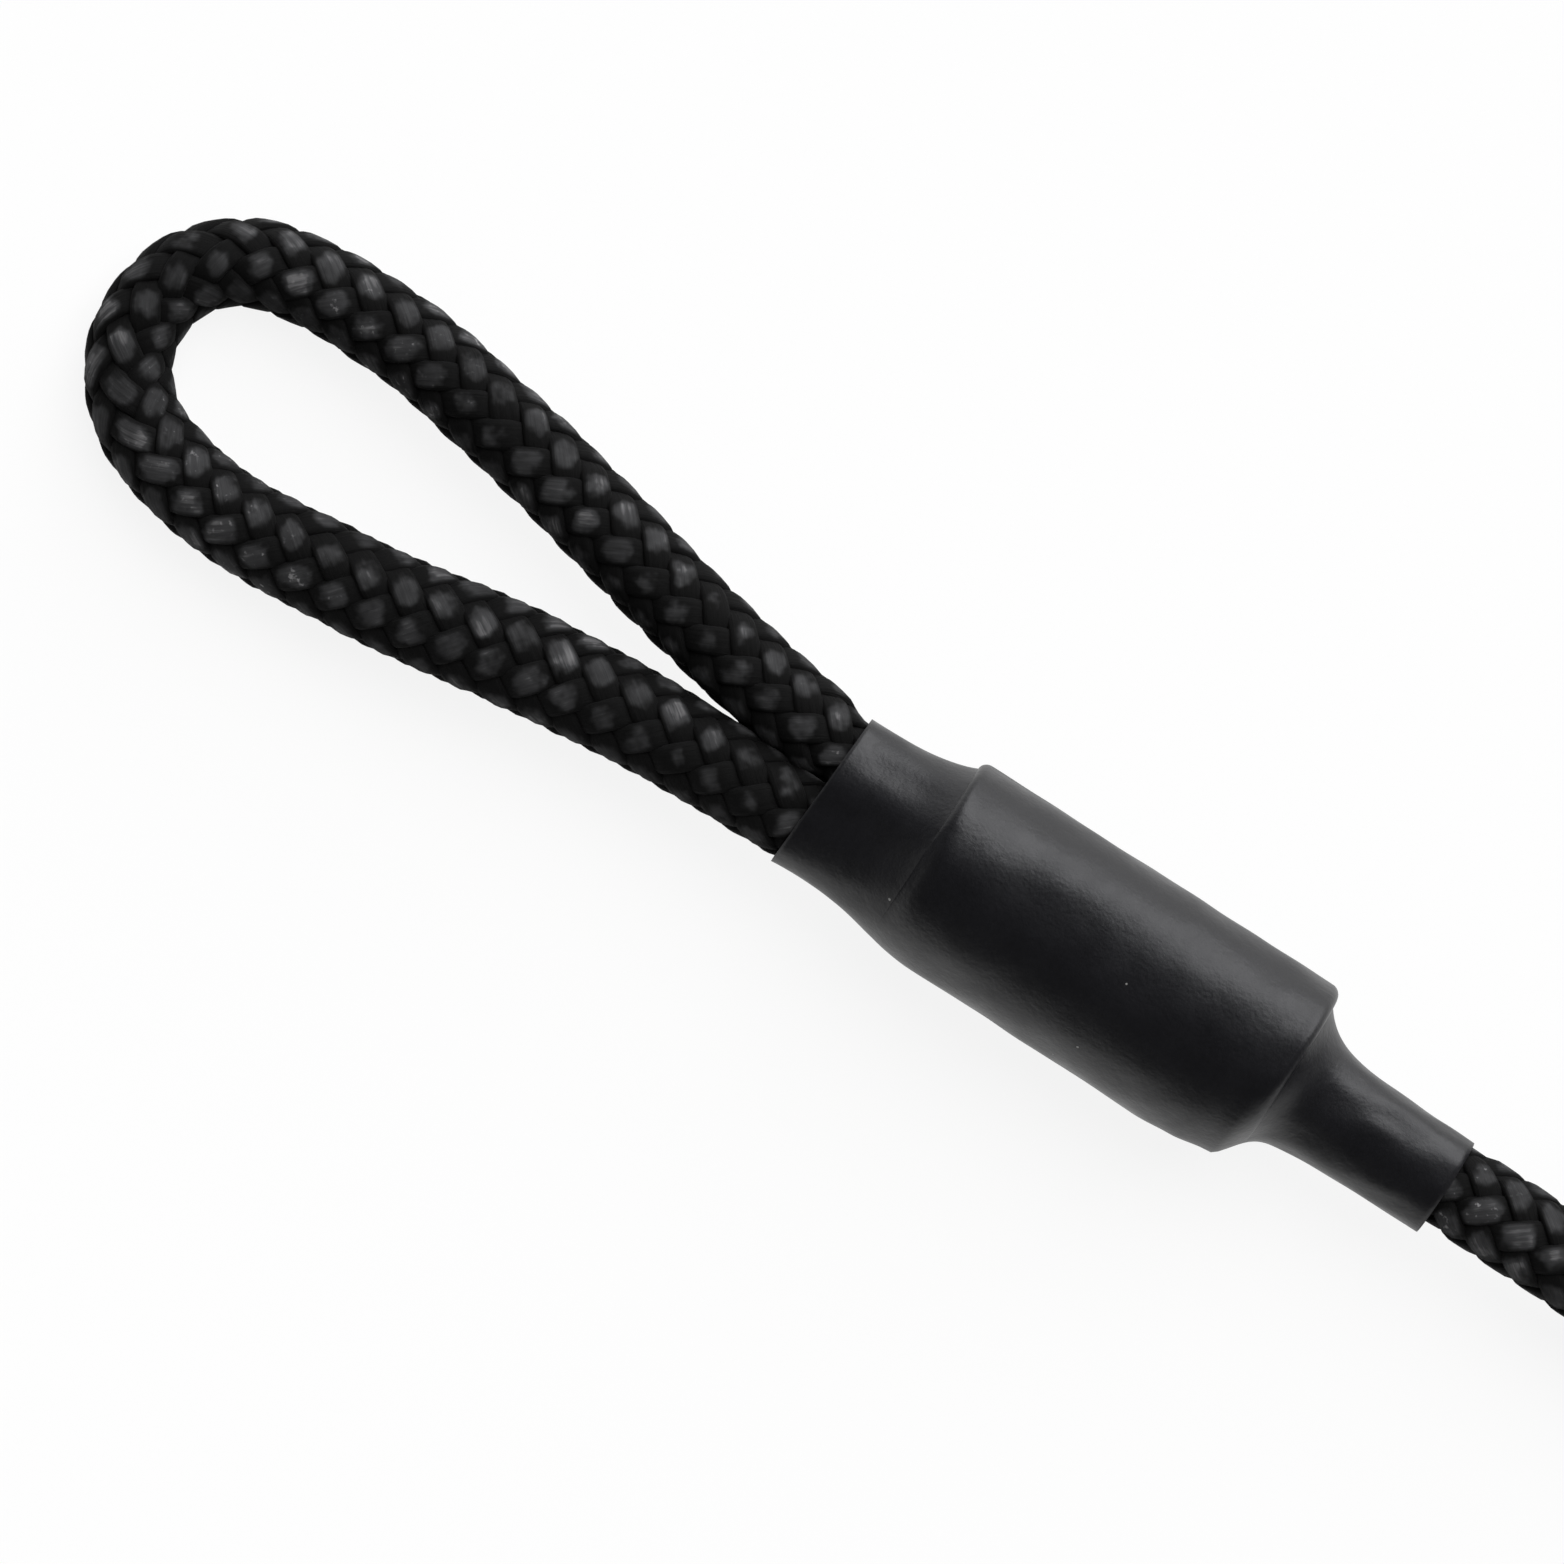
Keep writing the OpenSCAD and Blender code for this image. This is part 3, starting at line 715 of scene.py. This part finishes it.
def strap(name, step=0.12):
    """A ribbon along the belt, started on top of the tube. Its middle is half a thickness out from
    the belt, and a whole thickness more where it laps; its section is a rounded slab."""
    at = TIE_X - FAR_AT[0]
    side, other = float(cord_neck(at - BACK)[0]), float(soft_side(at))
    ring, around = belt(
        *TIED, CORD_R + TIE_SLACK,
        FAR_AT[1] + (side - other) / 2, AXIS_Z, (side + other) / 2 + TIE_SLACK, step,
    )
    top = int(np.argmax(ring[:, 1]))
    n, lap = len(ring), int(LAP / step)
    path = ring[(top - lap // 2 + np.arange(n + lap)) % n]
    out = unit(np.stack([np.gradient(path[:, 1]), -np.gradient(path[:, 0])], 1))
    s = np.arange(len(path)) * step
    climb = ease(s, around - CLIMB, CLIMB)
    path = path + out * (TIE_T / 2 + TIE_T * 1.02 * climb)[:, None]
    turn = 2 * np.pi * (np.arange(TIE_SECTION) + 0.5) / TIE_SECTION
    wide = TIE_W / 2 * (1 - 0.02 * np.cos(s)[:, None] ** 2)
    dx = wide * rounded(np.cos(turn), TIE_SLAB)
    dn = TIE_T / 2 * rounded(np.sin(turn), TIE_SLAB) + 0 * wide
    yz = path[:, None] + out[:, None] * dn[..., None]
    grid = np.concatenate([(TIE_X + TIE_W / 2 + dx)[..., None], yz], -1)
    return grid_mesh(name, placed(grid)[None], s[None])


tie_strap = strap("tie_strap")

# %% [markdown]
# ## Colours and nodes
# One helper turns a hex code, a colour as it is written for the screen, into the linear light that
# shaders work with. One adds a node with its values and links, and on it stand short ones for what
# comes again and again: a noise, a range, a sum, a bump.

# %% Helpers for materials
def paint(code):
    """sRGB to linear: c / 12.92 below 0.04045, and ((c + 0.055) / 1.055) to the power 2.4 above."""
    c = np.array([int(code[i : i + 2], 16) for i in (1, 3, 5)]) / 255
    return (*np.where(c <= 0.04045, c / 12.92, ((c + 0.055) / 1.055) ** 2.4).tolist(), 1.0)


def add(material, kind, values=None, links=None, **settings):
    """Adds a node of a kind: settings are the node's own, values fill sockets, links feed them."""
    tree = material.node_tree
    made = tree.nodes.new(kind)
    for key, value in settings.items():
        setattr(made, key, value)
    for key, value in (values or {}).items():
        made.inputs[key].default_value = value
    for key, output in (links or {}).items():
        tree.links.new(output, made.inputs[key])
    return made


def blank(name):
    """A material with an empty node tree, and the place that its textures are read at."""
    material = bpy.data.materials.new(name)
    material.use_nodes = True
    material.node_tree.nodes.clear()
    return material, add(material, "ShaderNodeTexCoord").outputs["Object"]


def finish_with(material, shader):
    """Feeds a shader node to the material's output."""
    add(material, "ShaderNodeOutputMaterial", links={"Surface": shader.outputs[0]})
    print(f"{material.name}: {len(material.node_tree.nodes)} nodes")
    return material


def blend_of(material, share, *codes):
    """A colour that goes through the codes in even steps as share goes from 0 to 1."""
    ramp = add(material, "ShaderNodeValToRGB", links={"Fac": share})
    stops = ramp.color_ramp.elements
    for between in range(1, len(codes) - 1):
        stops.new(between / (len(codes) - 1))
    for stop, code in zip(stops, codes):
        stop.color = paint(code)
    return ramp.outputs[0]


def noise(m, where, scale, detail=2.0, roughness=0.5):
    """A noise texture read at a place or a UV; gives its value, mostly between 0.3 and 0.7. At a
    place, in metres, its lumps are about 1000 / scale mm apart."""
    values = {"Scale": scale, "Detail": detail, "Roughness": roughness}
    return add(m, "ShaderNodeTexNoise", values, {"Vector": where}).outputs["Fac"]


def cells(m, where, scale):
    """Distance to the nearest of scattered points, in shares of a cell of 1000 / scale mm."""
    return add(m, "ShaderNodeTexVoronoi", {"Scale": scale}, {"Vector": where}).outputs["Distance"]


def stretched(m, where, scale):
    """The place or UV multiplied axis by axis, so that a noise read there is drawn out."""
    return add(m, "ShaderNodeMapping", {"Scale": scale}, {"Vector": where}).outputs[0]


def ranged(m, value, low, high, to_low, to_high, ease=False):
    """A value taken from one range to another, in a straight line or with smooth ends."""
    values = {"From Min": low, "From Max": high, "To Min": to_low, "To Max": to_high}
    kind = "SMOOTHSTEP" if ease else "LINEAR"
    made = add(m, "ShaderNodeMapRange", values, {"Value": value}, interpolation_type=kind)
    return made.outputs[0]


def maths(m, operation, *terms):
    """One step of arithmetic; a term is a plain number or another node's output."""
    made = add(m, "ShaderNodeMath", operation=operation)
    for i, term in enumerate(terms):
        if isinstance(term, (int, float)):
            made.inputs[i].default_value = term
        else:
            m.node_tree.links.new(term, made.inputs[i])
    return made.outputs[0]


def bumped(m, height, strength, distance, under=None):
    """Light as on a surface with that relief, distance metres deep, over the one under it."""
    values = {"Strength": strength, "Distance": distance}
    links = {"Height": height} | ({"Normal": under} if under else {})
    return add(m, "ShaderNodeBump", values, links).outputs[0]


def surface(m, values, colour, normal, roughness=None):
    """Ends the material in one principled shader, with plain numbers and linked sockets."""
    links = {"Base Color": colour, "Normal": normal}
    if roughness:
        links["Roughness"] = roughness
    return finish_with(m, add(m, "ShaderNodeBsdfPrincipled", values, links))


print("mid grey #808080 in linear light:", round(paint("#808080")[0], 3))

# %% [markdown]
# ## Braided yarn
# The yarns are dyed polyester multifilament: dozens of fine smooth threads side by side. The eye
# sees a black that isn't quite black. Where a yarn rides on top of the braid, a paler diamond
# with ragged edges is painted into its colour as a highlight, and where it dives under it stays
# black. The braid's own wave says where that is, and the place across the yarn narrows it. In the
# painted highlight run soft streaks, and here and there painted glints stand for single filaments
# that catch the light. The streaks are a noise read in the yarn's own UV: along the yarn one lasts
# about 1.8 mm, and round it they are 0.11 mm apart. Real filaments are 0.02 mm thick; they are
# drawn coarser, or they would blur away.

# %% Polyester yarn
def polyester_yarn():
    """Colour and roughness follow one share, the painted highlight: streaks times unevenness
    plus painted glints, times where the yarn is on top, which is a smooth step of wave + 1.4
    ridge + two noises."""
    m, place = blank("polyester_multifilament_yarn")
    uv = add(m, "ShaderNodeUVMap", uv_map="surface").outputs[0]
    filaments = noise(m, stretched(m, uv, (30.0, 0.55, 1.0)), 1.0, 3.0, 0.6)
    crest = add(m, "ShaderNodeAttribute", attribute_name="crest").outputs["Fac"]
    tighter = maths(m, "MULTIPLY_ADD", noise(m, place, 160.0), 1.2, -1.08)
    ragged = maths(m, "MULTIPLY_ADD", noise(m, place, 1100.0), 0.9, tighter)
    u = add(m, "ShaderNodeSeparateXYZ", links={0: uv}).outputs["X"]
    ridge = maths(m, "PINGPONG", u, 0.5)
    height = maths(m, "MULTIPLY_ADD", ridge, 1.4, maths(m, "ADD", crest, ragged))
    # painted highlight: paler where the yarn is on top, on its crest and mid-section
    highlight_on_top = ranged(m, height, 1.26, 1.66, 0.0, 1.0, ease=True)
    inwards = ranged(m, ridge, 0.3, 0.43, 0.0, 1.0, ease=True)
    streaks = ranged(m, filaments, 0.35, 0.65, 0.7, 1.05)
    uneven = ranged(m, noise(m, place, 450.0), 0.35, 0.65, 0.32, 0.7)
    glint_patches = ranged(m, noise(m, place, 90.0), 0.5, 0.65, 0.05, 1.0)
    # painted glints: pale specks for filaments that catch the light, stronger in patches
    glints = ranged(m, noise(m, place, 3500.0), 0.6, 0.76, 0.0, 0.6)
    streaks_and_glints = maths(m, "MULTIPLY_ADD", streaks, uneven, maths(m, "MULTIPLY", glints, glint_patches))
    # share is the painted highlight, from the yarn's own black up to the painted glints
    share = maths(m, "MULTIPLY", streaks_and_glints, maths(m, "MULTIPLY", highlight_on_top, inwards))
    colour = blend_of(m, share, "#121212", "#3c3c3d", "#8b8a8b")
    values = {"IOR": 1.5, "Specular IOR Level": 0.15, "Sheen Weight": 0.01, "Sheen Roughness": 0.4}
    return surface(
        m, values, colour, bumped(m, filaments, 0.7, 0.00008),
        roughness=ranged(m, share, 0.0, 1.0, 0.9, 0.6),
    )


yarn = polyester_yarn()

# %% [markdown]
# ## Heat-shrink film
# The film is cross-linked polyolefin with soot in it, blown and stretched. It has a dull skin, so
# light spreads over it in a broad soft band, with faint mottling of one or two millimetres where
# it cooled unevenly, a grain of a quarter of a millimetre, and a dusting of pale specks of a
# tenth. The mottling is mostly in the roughness and in low ripples, which break up the band.

# %% Polyolefin film
def polyolefin_film():
    """Black by a share of 0.25 mottle + 0.3 grain + 0.1, with specks round scattered points."""
    m, place = blank("heat_shrink_polyolefin")
    mottle = noise(m, place, 450.0, 4.0, 0.6)
    grain = noise(m, place, 4200.0, 3.0, 0.6)
    fine = maths(m, "MULTIPLY_ADD", grain, 0.3, 0.1)
    cloudy = maths(m, "MULTIPLY_ADD", mottle, 0.25, fine)
    dust = ranged(m, cells(m, place, 450.0), 0.025, 0.04, 0.7, 0.0)
    colour = blend_of(m, maths(m, "ADD", cloudy, dust), "#020203", "#18181b", "#8c8c8a")
    relief = bumped(m, grain, 0.5, 0.00003, under=bumped(m, mottle, 0.35, 0.0002))
    return surface(
        m, {"IOR": 1.5}, colour, relief, roughness=ranged(m, mottle, 0.0, 1.0, 0.26, 0.56)
    )


film_black = polyolefin_film()

# %% [markdown]
# ## Hook-and-loop tape
# The tape's outside is brushed nylon loop: a short felt-like nap with no direction, dull, and a
# little lighter where the nap stands up. A noise at the size of the loops, about 0.3 mm, gives the
# lumps and a finer one the single fibres.

# %% Brushed nylon tape
def brushed_nylon():
    """Dark nylon, paler on the lumps, with a strong sheen from the fibres that stand up."""
    m, place = blank("brushed_nylon_loop_tape")
    loops, fibres = noise(m, place, 3000.0, 3.0), noise(m, place, 9000.0)
    relief = bumped(m, fibres, 0.5, 0.00005, under=bumped(m, loops, 0.8, 0.00015))
    values = {"IOR": 1.5, "Roughness": 0.85, "Sheen Weight": 0.4, "Sheen Roughness": 0.5}
    return surface(m, values, blend_of(m, loops, "#0d0d0f", "#26262a"), relief)


tape = brushed_nylon()

# %% [markdown]
# ## What is hidden in the tube
# The core yarns and the glue stay as the solids they are. They and the sleeve have the finish of
# real ones, for when the part is taken apart: black filler yarns with streaks along them,
# aluminium tube with the fine rings of turning, and amber hot-melt glue with bubbles.

# %% Filler yarn, aluminium and glue
def filler_yarn():
    """Soft dull strands: a noise drawn out 13 times along X."""
    m, place = blank("spun_filler_yarn")
    strands = noise(m, stretched(m, place, (300.0, 4000.0, 4000.0)), 1.0)
    values = {"Roughness": 0.8, "Sheen Weight": 0.3}
    colour = blend_of(m, strands, "#08080a", "#1a1a1d")
    return surface(m, values, colour, bumped(m, strands, 0.6, 0.0001))


def turned_aluminium():
    """Bright metal whose marks are 0.08 mm apart along X and 5 mm long round the tube."""
    m, place = blank("turned_aluminium_tube")
    marks = noise(m, stretched(m, place, (12000.0, 200.0, 200.0)), 1.0)
    colour = blend_of(m, marks, "#b4b7bb", "#d3d5d8")
    return surface(
        m, {"Metallic": 1.0}, colour, bumped(m, marks, 0.3, 0.00002),
        roughness=ranged(m, marks, 0.0, 1.0, 0.25, 0.45),
    )


def hot_melt_glue():
    """Amber glue, paler between bubbles that are 0.8 mm apart."""
    m, place = blank("hot_melt_glue")
    bubbles = cells(m, place, 1200.0)
    colour = blend_of(m, bubbles, "#c7ad76", "#e2d0a2")
    return surface(m, {"Roughness": 0.35, "IOR": 1.48}, colour, bumped(m, bubbles, 0.3, 0.0001))


def give(node, finish):
    """Takes the finish that a solid came with off it and puts another on."""
    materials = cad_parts[node].data.materials
    materials.clear()
    materials.append(finish)


filler, aluminium, glue = filler_yarn(), turned_aluminium(), hot_melt_glue()
for end in ("", "far_"):
    give(end + "loop_core", filler)
    give(end + "glue_fill", glue)

# %% [markdown]
# ## Each piece in place of its solid
# Each dressed piece and its solid get their finish. The piece rides on the part's one body, and
# its solid is hidden. The two loops and the run between them are free cords, and their lengths
# are printed.

# %% Ride and replace
for piece, node, slot, finish in (
    (loop_braid, "loop_cover", "braid", yarn),
    (far_loop_braid, "far_loop_cover", "braid", yarn),
    (free_braid, "free_cord", "braid", yarn),
    (near_film, "shrink_tube", "shrink_film", film_black),
    (far_film, "far_shrink_tube", "shrink_film", film_black),
    (tie_strap, "cord_tie", "tie_strap", tape),
    (near_sleeve, "sleeve", "sleeve_metal", aluminium),
    (far_sleeve, "far_sleeve", "sleeve_metal", aluminium),
):
    piece.data.materials.append(finish)
    give(node, finish)
    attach(piece, "root")
    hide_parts(node)

print("cords in mm:", [round(length_of(p) / MM, 1) for p in (loop_path, far_loop_path, free_path)])

# %% [markdown]
# ## The table
# The part lies on a sheet of matt white paper. What the camera and reflections see of it is lifted
# most of the way to plain white, which pales the shadow without putting more soft light on the
# part.

# %% Floor
LIFT = 0.88
HALF_SHEET = 3

floor_mesh = bpy.data.meshes.new("paper_floor")
corners = [(x * HALF_SHEET, y * HALF_SHEET, 0) for x, y in ((-1, -1), (1, -1), (1, 1), (-1, 1))]
floor_mesh.from_pydata(corners, [], [(0, 1, 2, 3)])
floor = bpy.data.objects.new("paper_floor", floor_mesh)
bpy.context.scene.collection.objects.link(floor)

paper, _ = blank("matt_paper")
ray = add(paper, "ShaderNodeLightPath").outputs
seen = ray["Is Camera Ray"]
for other in ("Is Glossy Ray", "Is Transmission Ray"):
    seen = maths(paper, "MAXIMUM", seen, ray[other])
matt = add(paper, "ShaderNodeBsdfDiffuse", {"Color": paint("#FDFDFD")}).outputs[0]
white = add(paper, "ShaderNodeEmission", {"Color": (1, 1, 1, 1), "Strength": 1.0}).outputs[0]
lifted = {0: maths(paper, "MULTIPLY", seen, LIFT), 1: matt, 2: white}
finish_with(paper, add(paper, "ShaderNodeMixShader", links=lifted))
floor.data.materials.append(paper)
print("floor lifted to white by:", LIFT)

# %% [markdown]
# ## The light
# A large window stands low on the +Y side and gives the film its one broad band of light. High
# above it, a pale ceiling lights the same side softly; it is matt, so its lamp is left out of
# reflections. Both are sun lamps, which light the whole paper evenly, and their width makes the
# shadows soft. The world is a pale room that darkens upwards, and shows as the thin light along
# the lower edge of the film.

# %% Lamps and room
def soft_lamp(name, elevation, side, width, strength, colour):
    """A sun lamp that stands at an elevation over the table and at an angle round from +X, and
    looks as many degrees wide as width says."""
    data = bpy.data.lights.new(name, "SUN")
    data.angle, data.energy, data.color = math.radians(width), strength, colour
    lamp = bpy.data.objects.new(name, data)
    e, a = math.radians(elevation), math.radians(side)
    towards = Vector((math.cos(e) * math.cos(a), math.cos(e) * math.sin(a), math.sin(e)))
    lamp.rotation_mode = "QUATERNION"
    lamp.rotation_quaternion = towards.to_track_quat("Z", "Y")
    bpy.context.scene.collection.objects.link(lamp)
    return lamp


soft_lamp(
    "soft_window", elevation=11, side=85, width=56, strength=2.35, colour=(0.97, 0.975, 1.0)
)
ceiling = soft_lamp(
    "matt_ceiling", elevation=58, side=85, width=50, strength=2.6, colour=(1.0, 1.0, 1.0)
)
ceiling.visible_glossy = False

world = bpy.data.worlds.new("pale_room")
bpy.context.scene.world = world
world.use_nodes = True
world.node_tree.nodes.clear()
direction = add(world, "ShaderNodeTexCoord").outputs["Generated"]
up_share = add(world, "ShaderNodeSeparateXYZ", links={0: direction}).outputs["Z"]
wall = ranged(world, up_share, 0.03, 0.35, 0.6, 0.06)
room = add(world, "ShaderNodeBackground", {"Color": (1, 1, 1, 1)}, {"Strength": wall})
add(world, "ShaderNodeOutputWorld", links={"Surface": room.outputs[0]})
bpy.context.scene.view_settings.view_transform = "Standard"
